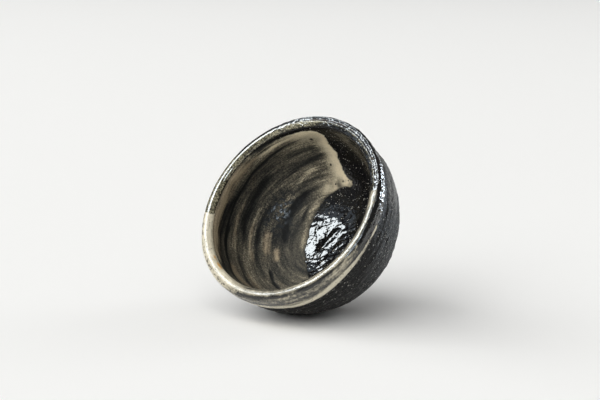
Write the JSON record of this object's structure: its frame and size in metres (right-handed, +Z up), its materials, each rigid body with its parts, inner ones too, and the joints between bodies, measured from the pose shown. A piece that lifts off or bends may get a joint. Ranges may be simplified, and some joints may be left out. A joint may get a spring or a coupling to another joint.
{
  "type": "sake cup",
  "caption": "Small handmade stoneware sake cup: a round bowl with a rolled lip on a foot ring, brushed cream slip and black glaze, for drinking.",
  "frame": {"origin": "centre of the foot ring's resting face", "axes": "+Z up the bowl's axis to the mouth; -Y is the side nearest to the camera in the picture"},
  "size_m": [0.066, 0.066, 0.038],
  "materials": {
    "bare_clay": "unglazed dark iron clay, dry and slightly gritty",
    "matt_black_glaze": "matt charcoal coat with scraped grey streaks and fine pits",
    "cream_slip": "cream slip with grey smudges under a thin satin glaze",
    "olive_glaze": "gloss olive and black glaze with pale specks",
    "brushed_slip": "beige slip laid on with a coarse brush, dark streaks showing through",
    "gloss_black_glaze": "wet-looking black glaze, lumpy in the well, with fine specks"
  },
  "bodies": {
    "root": {"clay_body": "bare_clay", "foot_ring": "bare_clay", "outer_glaze": "matt_black_glaze", "rim_slip": "cream_slip", "rim_glaze": "olive_glaze", "inner_slip": "brushed_slip", "inner_glaze": "gloss_black_glaze"}
  },
  "joints": []
}
